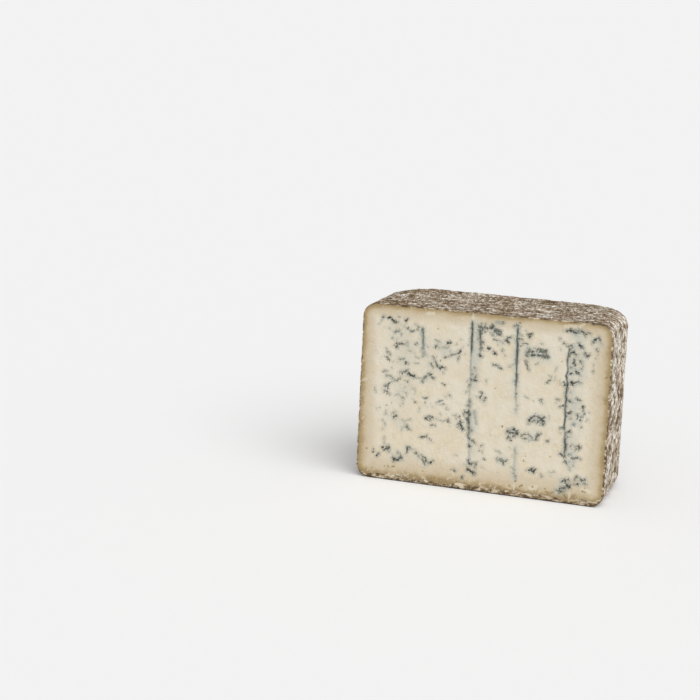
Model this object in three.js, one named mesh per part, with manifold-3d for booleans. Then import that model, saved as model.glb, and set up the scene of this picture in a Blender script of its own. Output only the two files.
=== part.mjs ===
import * as THREE from "three";
import { mergeVertices, toCreasedNormals } from "three/addons/utils/BufferGeometryUtils.js";
import Module from "manifold-3d";

// End slab of a square blue cheese with a natural rind, cut once and standing on its underside.
// Millimetres, +Z up. The cut face looks along -Y and the slab stands on z = 0.

// Overall sizes
const WIDTH = 185; // side of the square cheese, across the cut face at its foot
const DEPTH = 84; // from the cut face to the back of the rind
const HEIGHT = 131; // from the underside to the top, at the cut

// How the young cheese rounded off and settled in its mould
const PLAN_RADIUS = 38; // upright corners, seen from above
const EDGE_RADIUS = 10.5; // where the sides turn into the top and the underside
const LEFT_LEAN = 4; // the left side draws in this much from foot to top
const RIGHT_LEAN = 1.2; // the right side draws in this much from top to foot
const BACK_SAG = 3; // the top is this much lower at the back than at the cut

// Furrows the draining mat pressed into the top, side by side from the cut to the back
const FURROW_PITCH = 5.6;
const FURROW_WIDTH = 3.6;
const FURROW_DEPTH = 0.8;
const FURROW_LIFT = 0.05; // keeps the comb between two furrows clear of the top

// Channels of the piercing needles, laid open by the cut
const NEEDLE_RADIUS = 1.1;

// Needle channels as [x, z] of the upper end, then [x, z] of the lower end.
// x is a share of WIDTH from the middle and z is a share of HEIGHT.
const NEEDLE_TRACKS = [
  [-0.235, 0.88, -0.232, 0.72],
  [-0.041, 0.94, -0.038, 0.77],
  [-0.043, 0.47, -0.041, 0.32],
  [0.136, 0.93, 0.139, 0.62],
  [0.335, 0.85, 0.332, 0.42],
  [0.337, 0.37, 0.34, 0.27],
];

// Mould pockets laid open by the cut: x and z as the same shares, then half width, half height
// and depth.
const POCKETS = [
  [0.056, 0.9, 3.4, 2.8, 1.2],
  [-0.006, 0.89, 1.7, 4.2, 1.1],
  [0.182, 0.895, 2.4, 1.8, 1.1],
  [0.36, 0.945, 4.6, 1.2, 1.0],
  [-0.355, 0.912, 3.2, 1.1, 1.0],
  [0.355, 0.83, 1.6, 1.6, 1.2],
  [0.192, 0.815, 3.0, 1.6, 1.0],
  [0.048, 0.79, 1.4, 1.4, 1.0],
  [-0.278, 0.612, 1.8, 1.2, 1.0],
  [0.398, 0.54, 1.5, 1.3, 1.1],
  [-0.044, 0.43, 1.8, 3.4, 1.3],
  [0.137, 0.36, 2.9, 2.4, 1.2],
  [0.196, 0.437, 1.6, 1.5, 1.0],
  [-0.366, 0.185, 2.0, 1.6, 1.2],
  [-0.034, 0.165, 2.2, 1.6, 1.4],
  [-0.025, 0.115, 3.0, 1.3, 1.2],
  [0.217, 0.16, 1.9, 1.4, 1.2],
  [0.33, 0.08, 1.5, 2.0, 1.4],
];

const wasm = await Module();
wasm.setup();

// A closed three.js geometry as a solid that can be joined and cut.
function toSolid(geometry) {
  const bare = new THREE.BufferGeometry();
  bare.setAttribute("position", geometry.getAttribute("position"));
  bare.setIndex(geometry.index);
  const closed = mergeVertices(bare, 1e-4);
  const mesh = new wasm.Mesh({
    numProp: 3,
    vertProperties: closed.getAttribute("position").array,
    triVerts: new Uint32Array(closed.index.array),
  });
  return new wasm.Manifold(mesh);
}

function toGeometry(solid) {
  const { vertProperties, triVerts } = solid.getMesh();
  const geometry = new THREE.BufferGeometry();
  geometry.setAttribute("position", new THREE.BufferAttribute(vertProperties, 3));
  geometry.setIndex(new THREE.BufferAttribute(triVerts, 1));
  return toCreasedNormals(geometry, THREE.MathUtils.degToRad(35));
}

// The whole square cheese seen from above, its back edge at y = DEPTH / 2.
function planOutline() {
  const side = WIDTH / 2 - PLAN_RADIUS;
  const back = DEPTH / 2 - PLAN_RADIUS;
  const front = back - 2 * side;
  const outline = new THREE.Shape();
  outline.absarc(side, back, PLAN_RADIUS, 0, Math.PI / 2);
  outline.absarc(-side, back, PLAN_RADIUS, Math.PI / 2, Math.PI);
  outline.absarc(-side, front, PLAN_RADIUS, Math.PI, 1.5 * Math.PI);
  outline.absarc(side, front, PLAN_RADIUS, 1.5 * Math.PI, 2 * Math.PI);
  return outline;
}

// Leans the sides in and lets the top sag to the back; the underside stays flat.
function settle(geometry) {
  const position = geometry.getAttribute("position");
  for (let i = 0; i < position.count; i++) {
    const across = position.getX(i) / WIDTH + 0.5;
    const behind = position.getY(i) / DEPTH + 0.5;
    const up = position.getZ(i) / HEIGHT;
    const lean = (1 - across) * LEFT_LEAN * up - across * RIGHT_LEAN * (1 - up);
    position.setX(i, position.getX(i) + lean);
    position.setZ(i, position.getZ(i) - BACK_SAG * behind * up);
  }
}

function wholeCheese() {
  const block = new THREE.ExtrudeGeometry(planOutline(), {
    depth: HEIGHT - 2 * EDGE_RADIUS,
    bevelThickness: EDGE_RADIUS,
    bevelSize: EDGE_RADIUS,
    bevelOffset: -EDGE_RADIUS,
    bevelSegments: 5,
    curveSegments: 10,
  });
  block.translate(0, 0, EDGE_RADIUS);
  settle(block);
  return toSolid(block);
}

// Everything in front of the knife's plane.
function partCutAway() {
  const box = new THREE.BoxGeometry(2 * WIDTH, WIDTH, 2 * HEIGHT);
  box.translate(0, -DEPTH / 2 - WIDTH / 2, HEIGHT / 2);
  return toSolid(box);
}

// A comb as wide as the cheese; its rounded teeth leave the furrows of the draining mat.
function furrowComb() {
  const reach = DEPTH - EDGE_RADIUS - FURROW_WIDTH / 2;
  const comb = new THREE.Shape();
  comb.moveTo(0, 4 * FURROW_DEPTH);
  comb.lineTo(0, FURROW_LIFT);
  let end = 0;
  for (let y = FURROW_PITCH; y < reach; y += FURROW_PITCH) {
    end = y + FURROW_WIDTH / 2;
    comb.lineTo(y - FURROW_WIDTH / 2, FURROW_LIFT);
    comb.quadraticCurveTo(y, -2 * FURROW_DEPTH, end, FURROW_LIFT);
  }
  comb.lineTo(end, 4 * FURROW_DEPTH);
  const length = 2 * WIDTH;
  const bar = new THREE.ExtrudeGeometry(comb, {
    depth: length,
    bevelEnabled: false,
    curveSegments: 4,
  });
  const along = new THREE.Vector3(1, 0, 0);
  const towardsBack = new THREE.Vector3(0, 1, 0);
  const up = new THREE.Vector3(0, 0, 1);
  bar.applyMatrix4(new THREE.Matrix4().makeBasis(towardsBack, up, along));
  bar.rotateX(-Math.atan(BACK_SAG / DEPTH));
  bar.translate(-length / 2, -DEPTH / 2, HEIGHT);
  return toSolid(bar);
}

function onCut(acrossShare, heightShare) {
  return new THREE.Vector3(acrossShare * WIDTH, -DEPTH / 2, heightShare * HEIGHT);
}

function needleTrack([topX, topZ, lowX, lowZ]) {
  const top = onCut(topX, topZ);
  const low = onCut(lowX, lowZ);
  const run = top.clone().sub(low);
  const channel = new THREE.CapsuleGeometry(NEEDLE_RADIUS, run.length(), 2, 8);
  const turn = new THREE.Quaternion();
  turn.setFromUnitVectors(new THREE.Vector3(0, 1, 0), run.normalize());
  channel.applyQuaternion(turn);
  const middle = top.add(low).multiplyScalar(0.5);
  channel.translate(middle.x, middle.y, middle.z);
  return toSolid(channel);
}

function pocket([x, z, halfWidth, halfHeight, depth]) {
  const hollow = new THREE.SphereGeometry(1, 8, 6);
  hollow.scale(halfWidth, depth, halfHeight);
  const place = onCut(x, z);
  hollow.translate(place.x, place.y, place.z);
  return toSolid(hollow);
}

// Puts the middle of the slab's footprint box on the origin.
function standOnOrigin(solid) {
  const { min, max } = solid.boundingBox();
  return solid.translate([-(min[0] + max[0]) / 2, -(min[1] + max[1]) / 2, -min[2]]);
}

function cheeseSlab() {
  let slab = wholeCheese().subtract(partCutAway()).subtract(furrowComb());
  for (const opening of [...NEEDLE_TRACKS.map(needleTrack), ...POCKETS.map(pocket)]) {
    slab = slab.subtract(opening);
  }
  return standOnOrigin(slab);
}

const cheeseMaterial = new THREE.MeshStandardMaterial({
  name: "blue_cheese",
  color: 0xd9cdb4,
  roughness: 0.62,
  metalness: 0,
});

const cheeseWedge = new THREE.Mesh(toGeometry(cheeseSlab()), cheeseMaterial);
cheeseWedge.name = "cheese_wedge";

const part = new THREE.Group();
part.name = "cheese_wedge_part";
part.add(cheeseWedge);

export default part;
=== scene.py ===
# %% [markdown]
# # End slab of a square blue cheese
#
# A square blue cheese ripens for months on mats and shelves. Its outside dries to a grey-brown
# rind, dusted with white mould. Inside, the paste stays ivory, and blue mould grows wherever
# piercing needles let air in. This lesson makes the end slab left by one straight cut: rind all
# round, and one cut face that shows the paste.
#
# The slab is made around a plain solid of the right size, which the frame brings in. We bring
# that solid in and build everything in the same place, in metres.

# %% The frame's solid
import math

import bpy
import numpy as np
from mathutils import Matrix, Vector


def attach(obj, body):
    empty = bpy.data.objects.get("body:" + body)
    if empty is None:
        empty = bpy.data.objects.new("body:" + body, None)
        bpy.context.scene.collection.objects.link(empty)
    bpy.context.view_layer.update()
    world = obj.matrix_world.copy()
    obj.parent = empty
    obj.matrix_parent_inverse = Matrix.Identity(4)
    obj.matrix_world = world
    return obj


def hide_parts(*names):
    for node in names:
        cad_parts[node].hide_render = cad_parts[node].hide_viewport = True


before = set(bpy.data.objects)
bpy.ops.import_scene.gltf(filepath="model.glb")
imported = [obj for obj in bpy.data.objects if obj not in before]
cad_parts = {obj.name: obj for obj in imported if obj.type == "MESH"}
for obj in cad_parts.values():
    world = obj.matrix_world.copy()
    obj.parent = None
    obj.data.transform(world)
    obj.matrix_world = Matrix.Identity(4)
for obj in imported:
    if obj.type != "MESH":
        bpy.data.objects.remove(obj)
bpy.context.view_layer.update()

# %% [markdown]
# ## Sizes
#
# A cheesemaker thinks in millimetres, so all the measures below are in millimetres and turn
# into metres once, at the end. The cheese was square and its upright corners are generously
# round; the edges where the sides meet the top and the underside are tighter. While it drained
# it leaned a little to the right and sagged at the back, more at the right end than the left.

# %% The cheese in millimetres
MM = 0.001
WIDTH, DEPTH, HEIGHT = 185.0, 84.0, 131.0
CORNER = 38.0  # upright corners at the back
EDGE = 10.5  # round edges at top and bottom
LEFT_LEAN, RIGHT_LEAN = 4.0, 1.2
BACK_SAG, SAG_AT_LEFT = 3.0, 0.36  # at the right end, and the left end's share of it
CRUST = 0.85  # the rind's lumps stand within this depth under the solid's skin
CUT_SINK = 0.4  # the cut face's own level, under its crumbs

widest_left = -WIDTH / 2 + LEFT_LEAN * EDGE / HEIGHT
widest_right = WIDTH / 2 - RIGHT_LEAN * EDGE / HEIGHT
CENTRE_SHIFT = -(widest_left + widest_right) / 2
print("shift to stand on the middle", round(CENTRE_SHIFT, 2), "mm")

# %% [markdown]
# ## A skin of small squares
#
# The rind's bumps and the holes in the paste should be real shape, so the mesh needs an even
# skin of squares about a millimetre across. We start from the outside of a block cut into
# cells, as on a puzzle cube, and count each lattice point once. Every side then shares its
# border points with its neighbours, and the mesh is closed from the start. A subdivided sphere
# or a remesh would also be closed, but would not keep the sharp line of the cut.

# %% The lattice on the outside of a block
CELLS = (186, 80, 131)
SIDE_NAMES = {
    (0, 0): "left",
    (0, 1): "right",
    (1, 0): "cut",
    (1, 1): "back",
    (2, 0): "underside",
    (2, 1): "top",
}


def block_skin(cells):
    """Lattice points on the outside of a block, its squares and each square's side."""
    corners, sides = [], []
    for (axis, end), name in SIDE_NAMES.items():
        u, v = [other for other in range(3) if other != axis]
        across, along = np.meshgrid(np.arange(cells[u]), np.arange(cells[v]), indexing="ij")
        square = np.zeros(across.shape + (4, 3), int)
        for k, (step_u, step_v) in enumerate([(0, 0), (1, 0), (1, 1), (0, 1)]):
            square[..., k, u] = across + step_u
            square[..., k, v] = along + step_v
        square[..., axis] = end * cells[axis]
        if (end == 0) != (axis == 1):
            square = square[..., ::-1, :]
        corners.append(square.reshape(-1, 4, 3))
        sides += [name] * (cells[u] * cells[v])
    corners = np.concatenate(corners)
    rows, layers = cells[1] + 1, cells[2] + 1
    key = (corners[..., 0] * rows + corners[..., 1]) * layers + corners[..., 2]
    kept, place = np.unique(key, return_inverse=True)
    lattice = np.stack([kept // layers // rows, kept // layers % rows, kept % layers], 1)
    return lattice, place.reshape(-1, 4), np.array(sides)


lattice, squares, side_of = block_skin(CELLS)
print(len(lattice), "points", len(squares), "squares")

# %% [markdown]
# ## Rounding the block
#
# The block becomes a cheese in three moves. First each back corner square is squeezed into a
# quarter disc, seen from above. Then the edges at top and bottom are rounded: how far a point
# lies in from the outline and how far it lies from the top or bottom make a second small
# square, squeezed the same way. Last comes the lean and the sag. The cut face joins in, so its
# corners come out round as well, with no stretched or folded squares.

# %% Round, lean and sag


def squeeze(across, up):
    """Squeezes the corner of a square into the quarter disc inside it."""
    length = np.maximum(np.hypot(across, up), 1e-9)
    scale = np.maximum(across, up) / length
    return across * scale, up * scale


def round_off(block):
    """The cheese's smooth shape for points on the sharp block, all in mm."""
    x, y, z = block.T
    flat_x, flat_y = WIDTH / 2 - CORNER, DEPTH / 2 - CORNER
    in_corner = (abs(x) > flat_x) & (y > flat_y)
    out_x, out_y = squeeze(np.clip(abs(x) - flat_x, 0, None), np.clip(y - flat_y, 0, None))
    radius = np.hypot(out_x, out_y)
    side_gap, back_gap = WIDTH / 2 - abs(x), DEPTH / 2 - y
    inset = np.where(in_corner, CORNER - radius, np.minimum(side_gap, back_gap))
    from_end = np.minimum(z, HEIGHT - z)
    out, up = squeeze(np.clip(EDGE - inset, 0, None), np.clip(EDGE - from_end, 0, None))
    near = (inset < EDGE) & (from_end < EDGE)
    new_inset = np.where(near, EDGE - out, inset)
    new_end = np.where(near, EDGE - up, from_end)
    turn = (CORNER - new_inset) / np.maximum(radius, 1e-9)
    new_x = np.where(side_gap <= back_gap, WIDTH / 2 - new_inset, abs(x))
    new_y = np.where(side_gap > back_gap, DEPTH / 2 - new_inset, y)
    new_x = np.where(in_corner, flat_x + out_x * turn, new_x)
    new_y = np.where(in_corner, flat_y + out_y * turn, new_y)
    new_z = np.where(z < HEIGHT / 2, new_end, HEIGHT - new_end)
    return np.stack([np.sign(x) * new_x, new_y, new_z], 1)


def settle(shape):
    """Leans the sides in and lets the top sag to the back."""
    across, behind = shape[:, 0] / WIDTH + 0.5, shape[:, 1] / DEPTH + 0.5
    up = shape[:, 2] / HEIGHT
    lean = (1 - across) * LEFT_LEAN * up - across * RIGHT_LEAN * (1 - up)
    moved = shape.copy()
    moved[:, 0] += lean + CENTRE_SHIFT
    moved[:, 2] -= BACK_SAG * (SAG_AT_LEFT + (1 - SAG_AT_LEFT) * across) * behind * up
    return moved


block = (lattice / CELLS - [0.5, 0.5, 0]) * [WIDTH, DEPTH, HEIGHT]
body = settle(round_off(block))
print("smooth body", body.min(0).round(2), body.max(0).round(2))

# %% [markdown]
# ## Which way is out
#
# The rind's lumps rise straight out of the surface. Each point's direction is the mean of the
# squares round it, and the cut face is left out of that mean, so that the rind's lumps run
# right up to the cut.

# %% Outward directions of the rind


def outward(points, faces):
    """The mean direction of the faces round each point, as unit vectors."""
    a, b, c, d = (points[faces[:, k]] for k in range(4))
    face_way = np.cross(c - a, d - b)
    total = np.zeros_like(points)
    for k in range(4):
        np.add.at(total, faces[:, k], face_way)
    return total / np.maximum(np.linalg.norm(total, axis=1, keepdims=True), 1e-9)


on_cut_square = side_of == "cut"
rind_way = outward(body, squares[~on_cut_square])
in_cut = np.zeros(len(body), bool)
in_cut[squares[on_cut_square]] = True
in_rind = np.zeros(len(body), bool)
in_rind[squares[~on_cut_square]] = True
ring = in_cut & in_rind
print("points on the cut", in_cut.sum(), "of them on its edge", ring.sum())

# %% [markdown]
# ## Lumps from a seeded lattice
#
# Crust and crumbs are irregular, but the lesson should give the same cheese every time. A
# lattice of random numbers with a fixed seed, blended smoothly between its points, gives
# lumps of any size. Two or three sizes on top of each other look grown.

# %% Lumpy fields
PERIOD = 32  # the lattice of random numbers repeats after this many steps


def lumps(places, size, seed):
    """A smooth random height from 0 to 1 at each place; size is in mm, one or one per axis."""
    table = np.random.default_rng(seed).random((PERIOD, PERIOD, PERIOD))
    spot = places / size
    base = np.floor(spot).astype(int)
    t = spot - base
    t = t * t * (3 - 2 * t)
    total = np.zeros(len(places))
    for corner in np.ndindex(2, 2, 2):
        share = np.prod(np.where(corner, t, 1 - t), axis=1)
        i, j, k = ((base + corner) % PERIOD).T
        total += share * table[i, j, k]
    return total


def crumble(places, size, seed, octaves=3):
    """Lumps on lumps: each next layer is half the size and a little over half the height."""
    heights = [lumps(places, np.multiply(size, 0.5**n), seed + n) * 0.6**n for n in range(octaves)]
    return sum(heights) / sum(0.6**n for n in range(octaves))


def ease(low, high, value):
    """0 below low, 1 above high, and smooth between them."""
    t = np.clip((value - low) / (high - low), 0, 1)
    return t * t * (3 - 2 * t)


# %% [markdown]
# ## The rind's relief
#
# The top lay on a draining mat, which pressed broken ridges into it from side to side. The
# sides stood against a smooth mould and carry only crust. Both have pits where the brush or a
# shelf pulled crust away. The relief is kept as a number from 0 to 1, because the material
# uses it too: crests gather white mould and pits stay brown. The knife pressed the crust flat
# beside the cut, so there the lumps are lower and the slab's outline is calmer.

# %% Mat ridges, crust and pits
RIDGE_PITCH = 5.6
CALM_REACH, CALM_SHARE = 12.0, 0.4  # how far behind the cut the crust is calm, and how calm

matted = ease(0.55, 0.9, rind_way[:, 2])
wander = 2.4 * lumps(body, (34, 12, 12), 11) + 1.2 * lumps(body, (9, 8, 8), 12)
ridge = 0.5 + 0.5 * np.cos(2 * math.pi * (body[:, 1] + wander) / RIDGE_PITCH)
ridge *= ease(0.2, 0.6, crumble(body, (11, 5, 5), 21))
crust = ease(0.15, 0.62, crumble(body, (5.5, 3.6, 4.6), 31))
relief = crust * (1 - 0.55 * matted) + 0.6 * ridge * matted
pits = ease(0.6, 0.8, crumble(body, 4.2, 41, 2))
relief = np.clip(relief * (1 - 0.8 * pits), 0, 1)
behind_cut = body[:, 1] + DEPTH / 2
calm = CALM_SHARE + (1 - CALM_SHARE) * ease(0, CALM_REACH, behind_cut)
lift = CRUST * (relief - 1) * calm
lift[body[:, 2] < 0.01] = 0
print("relief", relief[in_rind].mean().round(2), "lift", lift.min().round(2), "mm")

# %% [markdown]
# ## The blue mould
#
# Blue mould lines every channel and gap that air could reach. The upright rows grew beside
# the needle tracks; the rest follows the gaps between the curds. Noise alone could scatter
# such marks, but would not put them where this cheese has them, so they are listed one by one.
# Each entry is one growth, as its half width and then the points it runs through, across and
# up from the middle of the cut's foot, in millimetres. They are grouped by how strongly the
# mould has coloured.

# %% Growths beside the needle tracks
BLACK, BLUE, GREEN, PALE = 1.0, 0.82, 0.5, 0.26
growths = {BLACK: [], BLUE: [], GREEN: [], PALE: []}

growths[BLACK] += [
    (1.0, -7.5, 46.5), (0.8, 25.2, 119.5), (0.6, -1.8, 112.7), (0.7, 61.5, 86, 59.5, 85),
    (0.9, 62.4, 45.2, 62.7, 43), (0.6, 62.3, 42.5, 62.5, 40.5, 62.3, 38), (0.6, 63, 31),
    (0.6, 63.7, 29.5),
]
growths[BLUE] += [
    (0.8, -7.6, 118.8), (0.7, -7.6, 113.6), (0.9, -7.6, 110), (0.8, 2.2, 117.8),
    (0.6, -1.6, 120, -0.2, 120.3, 0.4, 119, -0.6, 118, -1.6, 118.6), (0.6, -0.8, 116.5),
    (0.8, -0.3, 105.3), (0.7, -1.7, 100.2, -0.3, 99), (1.3, -8.5, 58.3),
    (0.7, -10.5, 58.5, -11.5, 57), (0.6, -8, 56, -7, 57.5), (1.0, -9.5, 53.7, -8.5, 52, -7.8, 51),
    (0.5, -8, 43, -8, 41, -6.5, 38.5, -5, 36.5), (0.7, -6.6, 33.4), (0.7, 25.2, 121, 25.2, 118),
    (0.9, 24.8, 113.6), (0.8, 25.1, 102), (0.7, 25.6, 89, 26.2, 86, 25.5, 82.7),
    (0.7, -1.8, 120, -1.6, 112), (0.6, -1, 111, -0.3, 104),
    (0.7, 59.5, 85, 61.2, 84, 61.8, 82, 60.8, 80.5), (0.5, 60.8, 78.5, 61.2, 76.5, 61.7, 75),
    (0.6, 58, 70, 60.5, 71), (0.7, 62.8, 52.3, 65.5, 52.3), (0.6, 65.2, 53.5), (0.6, 62.3, 50.2),
    (0.6, 62.5, 47.3), (0.8, 59, 36, 60.5, 35.3, 62, 34),
]
growths[GREEN] += [
    (1.1, -43.6, 115.5, -43.6, 112), (0.7, -43.5, 111, -43.5, 101), (0.6, -43.7, 94.8),
    (0.7, -7.6, 122, -7.6, 103), (1.2, -1.5, 110, 0.7, 110), (0.7, -7, 67, -8, 64.8),
    (0.8, -9, 62.7, -7.3, 62.3), (0.7, -8.3, 49.3), (0.6, -6.5, 44, -5, 46),
    (0.6, -4.5, 38.2, -2.3, 35.7), (0.8, 25.2, 122, 25.2, 97), (0.7, 25.8, 75.5),
    (0.5, 61.5, 73.5, 61, 71.5, 61.5, 69, 60.5, 67, 61.3, 65), (0.5, 62.3, 63.3),
    (0.8, 58.3, 54, 61, 54.7), (0.6, 64.2, 48.8), (0.4, 61.7, 113, 61.7, 105),
    (0.4, 62.9, 113, 62.9, 105), (0.7, 26.3, 17.2, 27.5, 16.2),
]
growths[PALE] += [
    (1.3, -44, 101, -42, 97), (1.0, -4, 60, -2, 50), (0.7, 25.8, 81), (0.7, 25.5, 78.5),
    (0.7, 25.6, 72.5), (0.9, 27.3, 67.3), (0.7, 26.2, 64.5, 26.3, 62.8), (0.6, 59, 51),
    (0.6, 26.7, 35.7, 26.5, 33.5), (0.7, 27.8, 32), (0.5, 24.8, 30.5),
    (0.6, 24.5, 22.5, 25.5, 20.3, 27, 20.2), (0.6, 27.4, 15, 28, 11.5), (0.6, 61.5, 30),
    (0.6, 66, 31.2), (0.6, 69.5, 31.5), (0.8, 65.5, 28, 65.8, 25), (0.6, 69, 28.5),
]

# %% Growths in the upper left of the cut
growths[BLACK] += [(0.9, -69.3, 120.8, -63.5, 117.9)]
growths[BLUE] += [
    (0.8, -73.3, 121.2), (0.7, -55.9, 121.4, -56.8, 119.9), (0.6, -47, 116), (0.5, -48, 114.2),
    (0.8, -55.1, 114.1), (0.8, -63.2, 103.3, -63, 100),
    (0.6, -62, 102.3, -59.1, 103.4, -58.3, 102.7), (0.7, -48.6, 103.8),
    (0.7, -70, 92, -69.5, 90.5, -68.3, 90), (0.8, -56, 89),
    (1.1, -53.5, 81.5, -52, 80.3, -50, 80.3), (0.7, -60, 77.2),
    (0.8, -38.8, 82.7, -37, 82, -36.5, 83.5), (0.6, -34.5, 102.7, -33.5, 104),
    (0.6, -36, 95.5, -34.8, 94.5), (0.8, -33, 90, -30, 88.5, -27, 88.7), (0.6, -69, 72.5),
    (0.6, -69.8, 67.7, -69, 66.5, -68.5, 65),
]
growths[GREEN] += [
    (0.6, -61.9, 122.4), (0.8, -64.5, 111, -61.5, 112.5), (0.7, -52.8, 112.3, -51, 113.5),
    (0.5, -57, 115.7), (0.7, -60.2, 109.7), (0.8, -66.7, 106.5), (0.6, -63.4, 101.6, -64.8, 101.6),
    (0.7, -69.3, 96, -67.8, 94.5), (0.6, -61, 92, -60, 91, -59, 91.5, -57.5, 91.8),
    (0.5, -54, 88.8), (0.5, -72.3, 81.3, -71, 82, -69.7, 81.3),
    (0.6, -70.8, 77.7, -69, 78.5, -67, 78, -65.5, 76.8, -64, 75, -62, 75, -61.8, 76.3),
    (0.7, -71.5, 71, -69.5, 71, -68.8, 69.5), (0.7, -72.2, 67.5, -71.5, 66), (0.7, -60, 82),
    (0.6, -58.5, 80.5), (0.9, -57.8, 82, -56, 83, -54.5, 84.5), (0.6, -54.4, 75.5),
    (1.2, -43.5, 77, -42.3, 79, -41, 80.3), (0.9, -36, 80.3, -34.2, 79.8),
    (0.7, -34, 108, -33, 107.6), (0.6, -37.5, 91, -35.5, 88), (0.7, -34, 92.5, -32.8, 90.5),
]
growths[PALE] += [
    (1.0, -75, 118.5), (0.7, -76.5, 116), (0.5, -72, 113.5), (0.6, -69.5, 113.3, -68.3, 112.2),
    (0.8, -49.8, 118.2, -47.2, 116.3), (0.6, -58.3, 102.7, -55, 103.5, -54.8, 105),
    (0.6, -56, 102.5, -54.5, 102.5), (0.7, -55, 99, -52.5, 98), (0.8, -70.8, 98.5, -70, 95),
    (0.8, -63.4, 106), (0.7, -72.5, 91.7, -71, 92), (0.6, -65.5, 88.7), (0.6, -62.5, 88.5),
    (0.7, -48.6, 94, -46.5, 93.3), (0.6, -49.5, 96.5), (0.7, -49, 90, -47, 90.3),
    (0.7, -39.3, 102.5), (0.7, -33, 107.6, -30, 106.5), (0.7, -31, 102.4, -26, 103.3, -24, 104),
    (0.6, -33, 96), (0.7, -66.5, 74.5, -68, 73), (0.8, -78.8, 68.5, -78, 65), (0.6, -66.2, 84.5),
    (0.7, -50, 78, -45, 79.3), (0.6, -55.8, 71), (0.6, -50.5, 71.5, -48.5, 70.5, -48.3, 67),
    (0.6, -57, 67.5), (0.7, -64, 64.5, -62, 65.8, -60.5, 65.3),
]

# %% Growths in the upper middle of the cut
growths[BLACK] += [
    (0.9, 8.7, 103.7, 10, 103), (0.5, 9.2, 119.6, 10.6, 119), (0.6, 11.8, 118, 12.4, 116.8),
]
growths[BLUE] += [
    (1.5, 10.8, 118.2), (0.9, 8.8, 120, 12.6, 119.4), (0.9, 10.6, 117.4, 12.4, 116.4),
    (0.6, -2, 120.7, 5, 120.6), (0.6, 7, 123.1, 8.2, 121.8, 7, 120.6, 5.8, 121.8, 7, 123.1),
    (0.5, 14.5, 125.6), (0.8, 17.5, 114, 20.8, 115.5), (1.0, 17.3, 112.2, 18.8, 111.5),
    (0.7, 15, 105.5), (1.1, 5, 105.8), (0.8, -26.5, 96.3), (0.7, -17, 100.5, -15.5, 102),
    (0.8, -25.5, 106.3, -24, 107.3, -23, 106.7), (0.8, -7.2, 82, -5.5, 81.7, -3, 82),
    (0.6, 0.1, 69.2), (0.7, 3.2, 69.7),
]
growths[GREEN] += [
    (2.6, 10.6, 118.4), (0.7, -1, 122.7), (0.7, 2, 122.8), (0.5, -3, 121.5),
    (0.8, 6, 117, 7.5, 115.5), (0.5, 22.5, 123.5, 24.5, 124.5, 26.5, 123.5), (0.5, 23.8, 125.5),
    (0.8, 26, 115.3, 29, 114.3), (0.6, 28.5, 111.8, 31, 112.3, 33.5, 111.5), (0.5, 28, 110.3),
    (0.6, 8.5, 112.7, 11, 112), (0.6, -24, 97, -22, 98.5, -19, 99.3, -17, 100.5),
    (0.5, -16, 99, -17.3, 95.5), (0.6, -22.5, 99), (0.7, 8.5, 94.5, 12, 94.3, 14, 92.3, 15, 92),
    (0.7, -5, 91, -4.6, 90.2), (0.5, -27.7, 85.2), (0.7, -23.3, 69.6, -22.5, 68),
    (0.7, -4, 83.5, -3.8, 85.5), (0.5, -7, 89.3), (0.5, -6.3, 86.5), (0.6, -8.2, 79, -9, 77),
    (0.7, 0.2, 74, 1.5, 73, 0.3, 71), (0.6, 2.5, 68, 3.5, 67.5, 3, 66.5),
    (0.6, -28.3, 76.7, -26, 76),
]
growths[PALE] += [
    (1.5, 10.6, 124.8, 13, 124.6), (0.8, -18.3, 107), (0.6, -10.3, 106.7), (0.6, -23.3, 101.5),
    (0.6, -15.5, 110.3), (0.5, -13.5, 105), (0.5, -12, 100), (0.6, -7, 89.5),
    (0.7, 13.5, 111.7, 15.5, 110.5), (0.6, 11.5, 109.3), (0.6, 17, 102),
    (0.7, 27, 117.5, 29, 117.5), (0.6, 30.5, 120.7), (0.7, 19.7, 94, 21, 95.7, 24, 95.2),
    (0.7, 38, 97.7, 41, 98.5), (0.6, -10, 80.4), (0.8, -9, 74, -11.5, 72), (0.6, -25, 67),
    (0.7, 4, 83, 4.2, 81), (0.6, -2.5, 70), (0.7, 31.8, 75, 34, 73),
]

# %% Growths in the upper right of the cut
growths[BLACK] += [
    (0.8, 59, 123.8, 62, 124, 66.5, 123.6), (1.3, 64.8, 109.5), (1.1, 64.5, 88, 65, 87),
    (1.2, 73.6, 71), (0.7, 36.5, 107),
]
growths[BLUE] += [
    (0.9, 40, 108.5, 46, 108), (0.9, 36, 104.5, 46.5, 104.8), (0.8, 32, 106, 36, 106.6),
    (0.9, 32.7, 118.8, 35.2, 118.8, 34, 117), (0.9, 44.5, 103.7, 46, 103.7),
    (0.6, 31.5, 99, 32.3, 98.5, 33.5, 96, 34.3, 93.8), (0.7, 58.6, 114.8), (0.6, 62.5, 125.5),
    (0.6, 68.5, 125.8, 71.5, 123.2, 75.3, 123.5), (0.7, 78.3, 117.6, 79.3, 120.2, 80.5, 120.3),
    (0.7, 82.2, 121.5, 82.9, 119.7), (0.9, 68.8, 114, 70.5, 113.5), (0.7, 66, 108.5, 67.5, 107.8),
    (0.7, 72.7, 109.5, 73.5, 108, 75, 107, 76.3, 108.2), (1.0, 65.8, 104, 65.2, 102, 66, 100.3),
    (0.6, 64, 94.5, 63.5, 94), (0.9, 67, 95.8, 70, 94.2), (0.6, 67, 87.8, 69.5, 88.7),
    (0.7, 63.5, 74.2, 65.5, 74.5), (0.7, 63.5, 65.8, 65, 66.7),
]
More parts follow.
